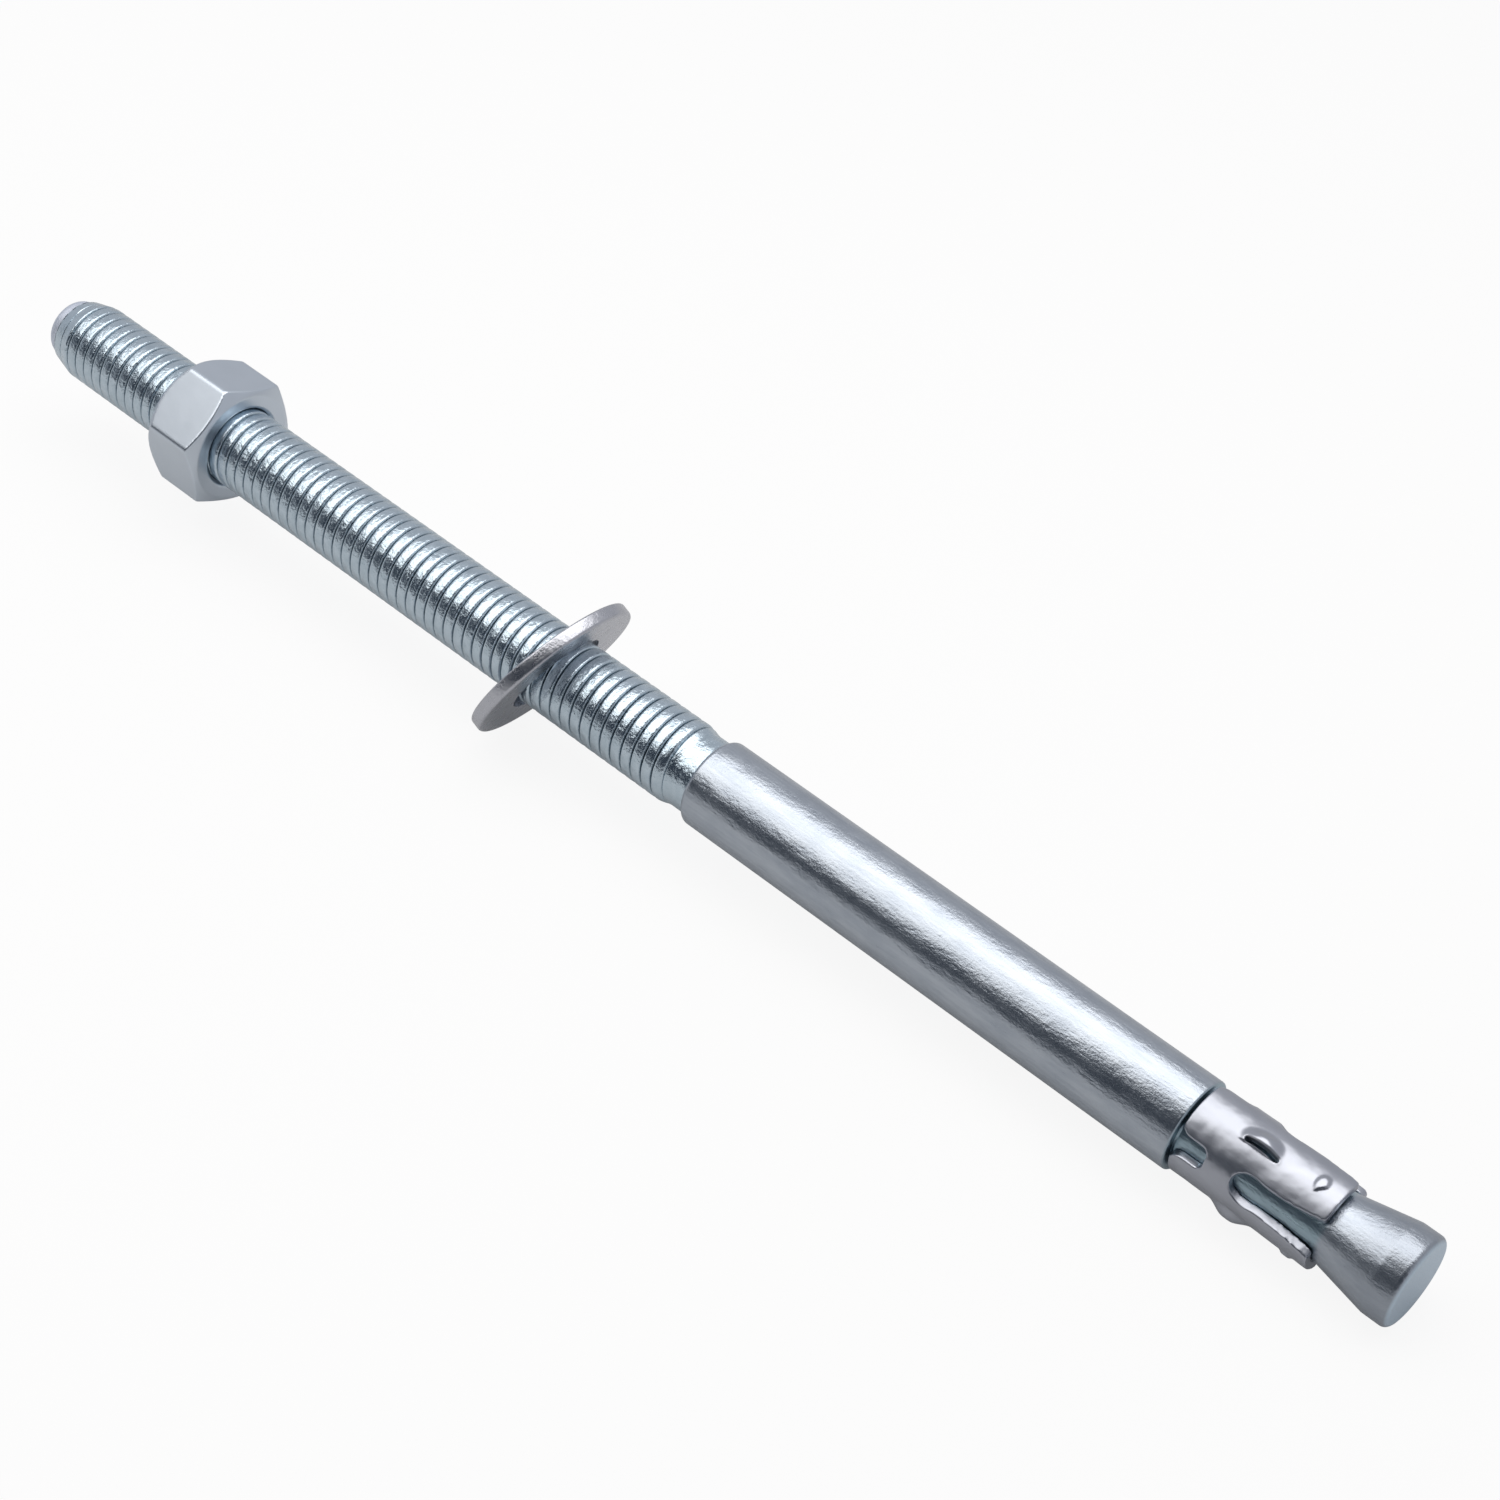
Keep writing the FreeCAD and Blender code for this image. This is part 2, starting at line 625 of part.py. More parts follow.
def build_nut():
    body = new_body("hex_nut")
    hexagon = outline(body, "nut_hexagon", "YZ_Plane", [
        (NUT_CORNER, None),
        (f"{NUT_CORNER} / 2", NUT_FLAT),
        (f"-{NUT_CORNER} / 2", NUT_FLAT),
        (f"-{NUT_CORNER}", None),
        (f"-{NUT_CORNER} / 2", f"-{NUT_FLAT}"),
        (f"{NUT_CORNER} / 2", f"-{NUT_FLAT}"),
    ])
    blank = body.newObject("PartDesign::Pad", "nut_blank")
    blank.Profile = hexagon
    blank.setExpression("Length", "Sizes.nut_height")
    blank.Reversed = True
    doc.recompute()

    def upright(edge):
        ends = edge.Vertexes
        return abs(ends[0].X - ends[-1].X) > size("nut_height") / 2

    corners = edges_where(blank, upright)
    soften(body, "nut_corners", blank, corners, "Sizes.nut_corner_rounding")

    top = "-Sizes.nut_height"
    bevel_corners(
        body, "nut_top_bevel", top, 1, "Sizes.nut_top_margin", "Sizes.nut_top_chamfer")
    bevel_corners(
        body, "nut_bearing_bevel", "0", -1,
        "Sizes.nut_bearing_margin", "Sizes.nut_bearing_chamfer")

    sink_radius = f"({NUT_BORE} + Sizes.nut_countersink_width)"
    sink_depth = "Sizes.nut_countersink_width * tan(Sizes.nut_countersink_angle * 1deg)"
    before = body.Shape.Volume
    inside = outline(body, "nut_bore_profile", "XZ_Plane", [
        (f"{CUT_MARGIN}", None),
        (f"{CUT_MARGIN}", sink_radius),
        (None, sink_radius),
        (f"-{sink_depth}", NUT_BORE),
        (f"{top} + {sink_depth}", NUT_BORE),
        (top, sink_radius),
        (f"{top} - {CUT_MARGIN}", sink_radius),
        (f"{top} - {CUT_MARGIN}", None),
    ])
    revolve(body, "nut_bore", inside, cut=True)
    check_cut(body, "nut_bore", before)
    return body


# Rest: the anchor lies on the rim of its jammed washer and on the rounded edge of its cone end


def washer_lean():
    """The angle at which the hole's two edges bite on the thread."""
    hole = 2 * value_of(WASHER_HOLE_RADIUS)
    thickness = size("washer_thickness")
    rod = 2 * value_of(THREAD_RADIUS) + 2 * size("washer_jam_clearance")
    return math.acos(rod / math.hypot(hole, thickness)) - math.atan2(thickness, hole)


def rest_placement(lean):
    """Turn the anchor so that its cone end and its washer's rim meet the floor, then centre it."""
    end_radius = size("end_rounding")
    shank_radius = value_of(SHANK_RADIUS)
    cone_edge = (-end_radius, -(shank_radius - end_radius))

    reach = size("washer_diameter") / 2
    half = size("washer_thickness") / 2 - size("washer_rim_break")
    washer_edge = (
        -value_of(WASHER_PLACE) - reach * math.sin(lean) + half * math.cos(lean),
        -reach * math.cos(lean) - half * math.sin(lean),
    )

    along = cone_edge[0] - washer_edge[0]
    up = cone_edge[1] - washer_edge[1]
    distance = math.hypot(along, up)
    tilt = math.atan2(up, along) - math.asin(end_radius / distance)

    floor = -cone_edge[0] * math.sin(tilt) + cone_edge[1] * math.cos(tilt) - end_radius

    nose_radius = size("nose_rounding")
    nose_edge = (-size("anchor_length") + nose_radius, -(value_of(NOSE_RADIUS) - nose_radius))
    back = nose_edge[0] * math.cos(tilt) + nose_edge[1] * math.sin(tilt) - nose_radius
    front = cone_edge[0] * math.cos(tilt) - cone_edge[1] * math.sin(tilt) + end_radius
    turn = FreeCAD.Rotation(FreeCAD.Vector(0, 1, 0), math.degrees(tilt))
    return FreeCAD.Placement(FreeCAD.Vector(-(back + front) / 2, 0, -floor), turn)


def turned_about(axis, degrees, place=0.0):
    """A piece turned in the anchor's own frame and set at its place along the axis."""
    return FreeCAD.Placement(FreeCAD.Vector(place, 0, 0), FreeCAD.Rotation(axis, degrees))


stud = build_stud()
clip = build_clip()
washer = build_washer()
nut = build_nut()

AXIS = FreeCAD.Vector(1, 0, 0)
LEVEL = FreeCAD.Vector(0, 1, 0)
lean = washer_lean()
rest = rest_placement(lean)
stud.Placement = rest
clip.Placement = rest * turned_about(AXIS, size("clip_roll"))
washer.Placement = rest * turned_about(LEVEL, math.degrees(lean), -value_of(WASHER_PLACE))
nut.Placement = rest * turned_about(AXIS, size("nut_roll"), -value_of(NUT_PLACE))
doc.recompute()

# Every object has to be sound before anything is written

for item in doc.Objects:
    if "Invalid" in item.State or "Error" in item.State:
        raise RuntimeError(f"{item.Name} is {item.State}")

pieces = [stud, clip, washer, nut]
for piece in pieces:
    shape = piece.Shape
    if shape.isNull() or not shape.isValid() or len(shape.Solids) != 1:
        raise RuntimeError(f"{piece.Label} is not one sound solid")

os.makedirs("parts", exist_ok=True)
for piece in pieces:
    piece.Shape.exportStep(f"parts/{piece.Label}.step")
    box = piece.Shape.BoundBox
    print(
        piece.Label, "volume", round(piece.Shape.Volume, 1),
        "from", round(box.XMin, 2), round(box.YMin, 2), round(box.ZMin, 2),
        "to", round(box.XMax, 2), round(box.YMax, 2), round(box.ZMax, 2))

tilt = rest.Rotation.getYawPitchRoll()[1]
print("washer leans", round(math.degrees(lean), 2), "anchor tilts", round(tilt, 3))
print("axis through", [round(v, 4) for v in rest.Base])
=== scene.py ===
"""Looks of a zinc-plated wedge anchor: rolled thread, pressed clip, flat washer and hex nut."""

import math  # noqa: E402

import bpy  # noqa: E402
from mathutils import Matrix, Vector, noise  # noqa: E402


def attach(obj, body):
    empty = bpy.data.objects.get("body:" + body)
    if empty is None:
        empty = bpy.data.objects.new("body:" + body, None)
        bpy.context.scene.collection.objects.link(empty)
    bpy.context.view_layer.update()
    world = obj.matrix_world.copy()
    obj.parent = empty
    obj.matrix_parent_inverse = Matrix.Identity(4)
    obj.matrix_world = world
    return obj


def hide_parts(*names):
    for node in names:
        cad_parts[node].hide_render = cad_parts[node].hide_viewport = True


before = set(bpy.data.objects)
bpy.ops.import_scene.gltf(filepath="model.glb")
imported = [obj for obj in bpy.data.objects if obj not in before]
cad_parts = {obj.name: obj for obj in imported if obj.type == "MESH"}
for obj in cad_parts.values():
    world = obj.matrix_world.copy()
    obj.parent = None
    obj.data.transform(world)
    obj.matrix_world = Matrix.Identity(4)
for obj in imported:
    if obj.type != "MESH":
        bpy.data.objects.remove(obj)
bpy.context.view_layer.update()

MM = 0.001

# Points nearer to each other than this are joined, in metres; more coarsely after cuts
JOIN_REACH = 1e-7
COARSE_JOIN_REACH = 5e-6

# How the anchor lies: its axis slopes down a little towards the cone end, which is the place 0
# along it. The thread lies towards minus X.
ANCHOR_TILT = math.radians(2.215868)
CONE_END = Vector((126.85743, 0.0, 6.584025)) * MM
LYING = Matrix.Translation(CONE_END) @ Matrix.Rotation(ANCHOR_TILT, 4, "Y")

# Radii and places along the anchor, in millimetres
SHANK_RADIUS = 6.625
SEAT_RADIUS = 4.9
NECK_RADIUS = 5.75
THREAD_RADIUS = 6.25
THREAD_DEPTH = 0.58
CORE_RADIUS = 4.4
NOSE_RADIUS = 4.95
LAND_END = -3.8
SEAT_START = -12.279
SEAT_END = -33.479
SHOULDER = -116.4
THREAD_START = -119.2
LEAD_IN = -247.9
LEAD_IN_RADIUS = 5.4
NOSE_START = -251.3
NOSE_END = -254.0

PITCH = 1.954
CREST_PLACE = -203.875
THREAD_FADE = 2.6
THREAD_STEPS = 84
TOOTH_STEPS = 14

CLIP_TIP = -11.899
CLIP_TOP = -33.099
CLIP_INNER = 4.99
CLIP_OUTER = 6.19
CLIP_FLARE = 0.217
CLIP_FLARE_START = -20.9
CLIP_FINGERS = 3
CLIP_ROLL = math.radians(69.7)

PUNCH_PAST_END = 2.0

# The clip stands off a little on one side. Angles round it are in degrees from the middle of
# its first slot.
CLIP_LIFTED_SIDE = -117.5
CLIP_LIFT = 0.32
CLIP_SINK = 0.07
LONG_WAVES = 0.05
LONG_WAVES_PER_MM = 0.22
SHORT_WAVES = 0.02
SHORT_WAVES_PER_MM = 0.7

LUG_PLACE = -23.75
LUG_ANGLE = -50.7
LUG_LENGTH = 6.9
LUG_WIDTH = 4.9
LUG_HEIGHT = 1.0
LUG_SLOPE = 0.85
SLIT_PLACE = LUG_PLACE + 0.3
SLIT_LENGTH = 5.1
SLIT_WIDTH = 0.7

TAB_PLACE = -15.05
TAB_ANGLE = -58.5
TAB_LENGTH = 2.2
TAB_WIDTH = 3.2
TAB_HEIGHT = 0.28
TAB_SLOPE = 0.6
TAB_SHEAR = Vector((0.74, 0.67))
TAB_SHEAR_REACH = 0.62

WASHER_PLACE = -147.4
WASHER_LEAN = math.radians(25.669978)
WASHER_HOLE_RADIUS = 7.55
WASHER_RADIUS = 13.5
WASHER_HALF = 1.05

NUT_PLACE = -213.6
NUT_HEIGHT = 11.1
NUT_FLAT = 9.4
NUT_CORNER = NUT_FLAT * 2 / math.sqrt(3)
NUT_BORE = 6.33
NUT_ROLL = math.radians(-18.0)

# Sides of what is turned
FINE_ROUND = 144
STUD_ROUND = 128
NUT_ROUND = 96


# Modelling by hand: pick what an operator is to work on, in object or edit mode


def pick_only(piece):
    bpy.ops.object.select_all(action="DESELECT")
    piece.select_set(True)
    bpy.context.view_layer.objects.active = piece


def edit(piece):
    """Open a piece's mesh with nothing selected."""
    pick_only(piece)
    bpy.ops.object.mode_set(mode="EDIT")
    bpy.ops.mesh.select_mode(type="VERT")
    bpy.ops.mesh.select_all(action="DESELECT")


def close(piece):
    bpy.ops.object.mode_set(mode="OBJECT")
    return piece


def merge_and_face_out(piece, distance=JOIN_REACH):
    """Join points that coincide and point every face outwards."""
    edit(piece)
    bpy.ops.mesh.select_all(action="SELECT")
    bpy.ops.mesh.remove_doubles(threshold=distance)
    bpy.ops.mesh.normals_make_consistent(inside=False)
    return close(piece)


def add_modifier(piece, kind, **settings):
    """Put a modifier on a piece and apply it."""
    pick_only(piece)
    modifier = piece.modifiers.new(kind.title(), kind)
    for name, value in settings.items():
        setattr(modifier, name, value)
    bpy.ops.object.modifier_apply(modifier=modifier.name)


def tumbled(piece, grain, rounds):
    """Close a piece, then round all its edges softly, as rolling and plating do."""
    merge_and_face_out(piece, COARSE_JOIN_REACH)
    edit(piece)
    bpy.ops.mesh.select_all(action="SELECT")
    bpy.ops.mesh.fill_holes(sides=0)
    close(piece)
    merge_and_face_out(piece)
    add_modifier(piece, "REMESH", mode="VOXEL", voxel_size=grain * MM, use_smooth_shade=True)
    add_modifier(piece, "SMOOTH", factor=0.5, iterations=rounds)


def shade(piece, degrees):
    pick_only(piece)
    bpy.ops.object.shade_smooth_by_angle(angle=math.radians(degrees))


def turned_bar(name, stations, sides):
    """A solid turned about X: a disc drawn out from station to station, each (place, radius)."""
    bpy.ops.object.select_all(action="DESELECT")
    place, radius = stations[0]
    bpy.ops.mesh.primitive_circle_add(
        vertices=sides, radius=radius * MM, fill_type="NGON",
        location=(place * MM, 0, 0), rotation=(0, math.pi / 2, 0))
    bar = bpy.context.object
    bpy.ops.object.transform_apply(location=True, rotation=True, scale=True)
    bar.name = name
    bpy.ops.object.mode_set(mode="EDIT")
    bpy.ops.mesh.select_mode(type="FACE")
    bpy.ops.mesh.select_all(action="SELECT")
    for next_place, next_radius in stations[1:]:
        growth = next_radius / radius
        bpy.ops.mesh.extrude_region_move(
            TRANSFORM_OT_translate={"value": ((next_place - place) * MM, 0, 0)})
        bpy.ops.transform.resize(
            value=(1, growth, growth), center_override=(next_place * MM, 0, 0))
        place, radius = next_place, next_radius
    close(bar)
    return merge_and_face_out(bar)


def arc(centre, radius, start, end, steps):
    """Points along an arc, from one direction to another in degrees."""
    points = []
    for step in range(steps + 1):
        angle = math.radians(start + (end - start) * step / steps)
        points.append((centre[0] + radius * math.cos(angle), centre[1] + radius * math.sin(angle)))
    return points


def draw_wire(name, points):
    """A chain of edges drawn out of one vertex, through (x, y, z) points in millimetres."""
    bpy.ops.object.select_all(action="DESELECT")
    bpy.ops.mesh.primitive_plane_add(size=MM, location=(0, 0, 0))
    wire = bpy.context.object
    wire.name = name
    edit(wire)
    bpy.ops.mesh.select_all(action="SELECT")
    bpy.ops.mesh.merge(type="CENTER")
    bpy.ops.transform.translate(value=Vector(points[0]) * MM)
    for point, following in zip(points, points[1:]):
        step = (Vector(following) - Vector(point)) * MM
        bpy.ops.mesh.extrude_vertices_move(TRANSFORM_OT_translate={"value": step})
    return close(wire)


def cut_with(piece, tool, operation="DIFFERENCE"):
    add_modifier(piece, "BOOLEAN", operation=operation, object=tool, solver="EXACT")
    bpy.data.objects.remove(tool)


def settle(piece, place):
    """Bring a finished piece to its place, and leave its object at the origin."""
    pick_only(piece)
    piece.matrix_world = place
    bpy.ops.object.transform_apply(location=True, rotation=True, scale=True)


def hand_over(piece, body, node, finish):
    """Give a piece its finish and let it stand for its solid."""
    piece.data.materials.clear()
    piece.data.materials.append(finish)
    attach(piece, body)
    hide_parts(node)


def eased(share):
    """0 to 1, level at both ends."""
    share = min(max(share, 0.0), 1.0)
    return share * share * (3.0 - 2.0 * share)


# Stud: the turned bar, and the rolled thread that is screwed out of one tooth


def stud_bar():
    """The turned stud. Under its thread, which is a piece of its own, it is only a core."""
    end_round, land_round, shoulder_round, nose_round = 0.95, 2.0, 0.75, 1.6
    nose_face, shank_step = 4.8, 20.0
    stations = [(0.0, 3.0), (0.0, 5.2)]
    stations += arc((-end_round, SHANK_RADIUS - end_round), end_round, 0.0, 90.0, 8)
    stations += arc((LAND_END + 0.4, SHANK_RADIUS - land_round), land_round, 90.0, 101.5, 3)
    # The waisted seat, and the collar behind it, whose edge is drawn over
    stations += [(SEAT_START + 0.5, SEAT_RADIUS + 0.09), (SEAT_START - 0.4, SEAT_RADIUS)]
    stations += [(SEAT_END + 0.25, SEAT_RADIUS), (SEAT_END, SEAT_RADIUS + 0.25)]
    stations += [(SEAT_END, SHANK_RADIUS - 0.28), (SEAT_END - 0.05, SHANK_RADIUS - 0.17)]
    stations += [(SEAT_END - 0.2, SHANK_RADIUS - 0.04), (SEAT_END - 0.4, SHANK_RADIUS)]
    stations += [(SEAT_END - shank_step * count, SHANK_RADIUS) for count in range(1, 5)]
    stations += arc(
        (SHOULDER + shoulder_round, SHANK_RADIUS - shoulder_round), shoulder_round,
        90.0, 180.0, 8)
    stations += [(SHOULDER, CORE_RADIUS), (NOSE_START + 0.4, CORE_RADIUS)]
    stations += [(NOSE_START + 0.2, NOSE_RADIUS)]
    stations += arc((NOSE_END + nose_round, nose_face - nose_round), nose_round, 86.0, 180.0, 10)
    stations += [(NOSE_END, 1.5)]
    return turned_bar("threaded_stud", stations, STUD_ROUND)


def thread_height(place, radius):
    """The rolled profile fades out over the neck, and the lead-in cone turns the crests down."""
    radius = NECK_RADIUS + (radius - NECK_RADIUS) * eased((THREAD_START - place) / THREAD_FADE)
    slope = (THREAD_RADIUS - LEAD_IN_RADIUS) / (LEAD_IN - NOSE_START)
    return min(radius, THREAD_RADIUS - max(LEAD_IN - place, 0.0) * slope)


def rolled_thread():
    """One tooth, a broad crest between narrow roots, is screwed along the axis.

    It runs in under the shoulder, where it has faded to the plain neck.
    """
    breadth, steepness = 0.7, 7
    tooth = []
    for step in range(TOOTH_STEPS + 1):
        across = 2.0 * step / TOOTH_STEPS - 1.0
        side = math.copysign(abs(across) ** breadth, across)
        height = THREAD_RADIUS - THREAD_DEPTH * abs(side) ** steepness
        tooth.append((PITCH * (side + 1.0) / 2, height))
    seam = SHOULDER + 0.3
    turns = math.ceil((seam - NOSE_START) / PITCH) + 3
    start = CREST_PLACE - PITCH / 2 - PITCH * math.ceil((CREST_PLACE - NOSE_START) / PITCH + 1)

    thread = draw_wire("stud_thread", [(start + place, 0, radius) for place, radius in tooth])
    add_modifier(
        thread, "SCREW", axis="X", angle=math.tau, screw_offset=PITCH * MM, iterations=turns,
        steps=THREAD_STEPS, render_steps=THREAD_STEPS, use_merge_vertices=True,
        merge_threshold=1e-6)
    # How deep each point lies in a root; the thread's finish paints shade there by it.
    root = thread.data.attributes.new("root", "FLOAT", "POINT")
    for vertex in thread.data.vertices:
        place = vertex.co.x / MM
        reach = math.hypot(vertex.co.y, vertex.co.z) / MM
        radius = thread_height(place, reach)
        vertex.co.y *= radius / reach
        vertex.co.z *= radius / reach
        root.data[vertex.index].value = (
            thread_height(place, THREAD_RADIUS) - radius) / THREAD_DEPTH
    merge_and_face_out(thread)
    for place, outwards in ((NOSE_START, -1), (seam, 1)):
        edit(thread)
        bpy.ops.mesh.select_all(action="SELECT")
        bpy.ops.mesh.bisect(
            plane_co=(place * MM, 0, 0), plane_no=(outwards, 0, 0), use_fill=True,
            clear_outer=True)
        close(thread)
    return merge_and_face_out(thread)


def build_stud():
    bar = stud_bar()
    shade(bar, degrees=25.0)
    bar.data.materials.append(shank_zinc())
    thread = rolled_thread()
    shade(thread, degrees=60.0)
    thread.data.materials.append(thread_zinc())
    pick_only(bar)
    thread.select_set(True)
    bpy.ops.object.join()
    settle(bar, LYING)
    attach(bar, "stud")
    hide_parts("stud")


# Clip: a sleeve punched with slots, notches and slits, tumbled, and pressed out by each slit


def keyhole_slot():
    """Half the outline of a slot: round head, narrow waist, mouth flared to rounded corners."""
    length, head, waist, bulge, flare, corner = 12.7, 2.55, 2.2, 6.0, 26.0, 1.1
    head_place = CLIP_TIP - length + head
    waist_place = head_place + math.sqrt((head + bulge) ** 2 - (waist + bulge) ** 2)
    corner_place = CLIP_TIP - corner
    rise = math.sqrt((flare - corner) ** 2 - (corner_place - waist_place) ** 2)
    corner_side = waist + flare - rise
    meet = math.degrees(math.atan2(waist + bulge, waist_place - head_place))
    turn = math.degrees(math.atan2(-rise, corner_place - waist_place))
    half = arc((head_place, 0.0), head, 180.0, meet, 14)
    half += arc((waist_place, waist + bulge), bulge, meet - 180.0, -90.0, 4)[1:]
    half += arc((waist_place, waist + flare), flare, -90.0, turn, 6)[1:]
    half += arc((corner_place, corner_side), corner, turn, 0.0, 6)[1:]
    return half + [(CLIP_TIP + PUNCH_PAST_END, corner_side)]


def top_notch():
    """Half the outline of a notch: flat floor, rounded corners, wide mouth."""
    depth, side, corner, mouth = 4.5, 1.7, 1.1, 1.7
    floor = CLIP_TOP + depth
    half = [(floor, 0.0)] + arc((floor - corner, side - corner), corner, 0.0, 90.0, 6)
    half += arc((CLIP_TOP + mouth, side + mouth), mouth, -90.0, -180.0, 8)
    return half + [(CLIP_TOP - PUNCH_PAST_END, side + mouth)]


def lance(length, width):
    """Half the outline of a narrow slit with round ends."""
    round_end, end = width / 2, length / 2 - width / 2
    half = arc((-end, 0.0), round_end, 180.0, 90.0, 5)
    return half + arc((end, 0.0), round_end, 90.0, 0.0, 5)


def punch_sleeve(sleeve, half, around=0.0, centre=0.0):
    """Punch one outline through every finger's wall, at an angle round the sleeve.

    The outline is drawn as on the outer skin. The punch narrows to an edge inside, so that
    the walls of a cut look outwards a little, as drawn-over edges do.
    """
    outline = half + [(place, -side) for place, side in reversed(half) if side > 1e-6]
    above, below, edge = 9.0, 3.2, 3.0
    narrower = (below - edge) / (above - edge)
    for finger in range(CLIP_FINGERS):
        punch = draw_wire("punch", [
            (centre + place, side * (above - edge) / (CLIP_OUTER - edge), above)
            for place, side in outline])
        edit(punch)
        bpy.ops.mesh.select_all(action="SELECT")
        bpy.ops.mesh.edge_face_add()
        bpy.ops.mesh.extrude_region_move(
            TRANSFORM_OT_translate={"value": (0, 0, (below - above) * MM)})
        bpy.ops.transform.resize(value=(1, narrower, 1), center_override=(0, 0, below * MM))
        close(punch)
        merge_and_face_out(punch)
        angle = math.radians(around + 360.0 * finger / CLIP_FINGERS)
        settle(punch, Matrix.Rotation(angle, 4, "X"))
        cut_with(sleeve, punch)


def mound(along, across, length, width, slope):
    """1 on an oval level top, falling to 0 at its border over a share of its reach."""
    return eased((1.0 - math.hypot(2.0 * along / length, 2.0 * across / width)) / slope)


def distance_round(angle, middle):
    """How far a spot on the clip's skin is from a place round it, both in degrees."""
    return math.radians((angle - middle + 180.0) % 360.0 - 180.0) * CLIP_OUTER


def pressed_out(place, angle):
    """How far a finger's skin is pushed out, at a place and an angle round the clip.

    The lug stands beside its slit, the tab beside a sheared edge that runs askew.
    """
    push = 0.0
    behind = distance_round(angle, LUG_ANGLE) + SLIT_WIDTH / 2
    if behind < SLIT_WIDTH:
        push += LUG_HEIGHT * mound(place - LUG_PLACE, behind, LUG_LENGTH, LUG_WIDTH, LUG_SLOPE)
    spot = Vector((place - TAB_PLACE, distance_round(angle, TAB_ANGLE)))
    if TAB_SHEAR.dot(spot) < TAB_SHEAR_REACH:
        push += TAB_HEIGHT * mound(spot.x, spot.y, TAB_LENGTH, TAB_WIDTH, TAB_SLOPE)
    return push


def clip_sleeve():
    """The plain sleeve, flared a little towards its tip."""
    beyond = 1.0
    sleeve = turned_bar("clip", [
        (CLIP_TIP, CLIP_OUTER + CLIP_FLARE), (CLIP_FLARE_START, CLIP_OUTER),
        (CLIP_TOP, CLIP_OUTER)], FINE_ROUND)
    bore = turned_bar("clip_bore", [
        (CLIP_TIP + beyond, CLIP_INNER + CLIP_FLARE), (CLIP_TIP, CLIP_INNER + CLIP_FLARE),
        (CLIP_FLARE_START, CLIP_INNER), (CLIP_TOP - beyond, CLIP_INNER)], FINE_ROUND)
    cut_with(sleeve, bore)
    return sleeve


def build_clip():
    clip = clip_sleeve()
    punch_sleeve(clip, keyhole_slot())
    punch_sleeve(clip, top_notch())
    punch_sleeve(clip, lance(SLIT_LENGTH, SLIT_WIDTH), LUG_ANGLE, SLIT_PLACE)
    tumbled(clip, grain=0.14, rounds=6)
    for vertex in clip.data.vertices:
        spot = vertex.co / MM
        angle = math.degrees(math.atan2(-spot.y, spot.z))
        push = LONG_WAVES * noise.noise(spot * LONG_WAVES_PER_MM)
        push += SHORT_WAVES * noise.noise(spot * SHORT_WAVES_PER_MM)
        lifted = math.cos(math.radians(angle - CLIP_LIFTED_SIDE))
        push += CLIP_LIFT * max(lifted, 0.0) + CLIP_SINK * min(lifted, 0.0)
        for finger in range(CLIP_FINGERS):
            push += pressed_out(spot.x, angle - 360.0 * finger / CLIP_FINGERS)
        growth = 1.0 + push / math.hypot(spot.y, spot.z)
        vertex.co.y *= growth
        vertex.co.z *= growth
    add_modifier(clip, "SMOOTH", factor=0.5, iterations=3)
    shade(clip, degrees=180.0)
    settle(clip, LYING @ Matrix.Rotation(CLIP_ROLL, 4, "X"))
    hand_over(clip, "clip", "expansion_clip", clip_zinc())


# Nut: a hexagon turned down at both ends, bored, and tumbled until its edges are round


def build_nut():
    edge_round, chamfer, bearing_angle, top_angle = 0.5, 0.75, 28.0, 45.0
    sink, beyond = 0.47, 1.0
    face = NUT_FLAT - chamfer
    reach = NUT_CORNER + beyond
    bearing = (reach - face) * math.tan(math.radians(bearing_angle))
    top = (reach - face) * math.tan(math.radians(top_angle))
    nut = turned_bar("nut", [(0.0, NUT_CORNER), (-NUT_HEIGHT, NUT_CORNER)], 6)
    add_modifier(
        nut, "BEVEL", width=edge_round * MM, segments=4, limit_method="ANGLE",
        angle_limit=math.radians(45.0), affect="EDGES")
    turned = turned_bar("nut_turning", [
        (0.0, face), (-bearing, reach), (-NUT_HEIGHT + top, reach), (-NUT_HEIGHT, face)],
        NUT_ROUND)
    cut_with(nut, turned, "INTERSECT")
    bore = turned_bar("nut_bore", [
        (beyond, NUT_BORE + sink + beyond), (-sink, NUT_BORE), (-NUT_HEIGHT + sink, NUT_BORE),
        (-NUT_HEIGHT - beyond, NUT_BORE + sink + beyond)], NUT_ROUND)
    cut_with(nut, bore)
    tumbled(nut, grain=0.15, rounds=7)
    shade(nut, degrees=180.0)
    rolled = Matrix.Translation((NUT_PLACE * MM, 0, 0)) @ Matrix.Rotation(NUT_ROLL, 4, "X")
    settle(nut, LYING @ rolled)
    hand_over(nut, "nut", "hex_nut", nut_zinc())


# Washer: punched from sheet, so its rim is drawn over


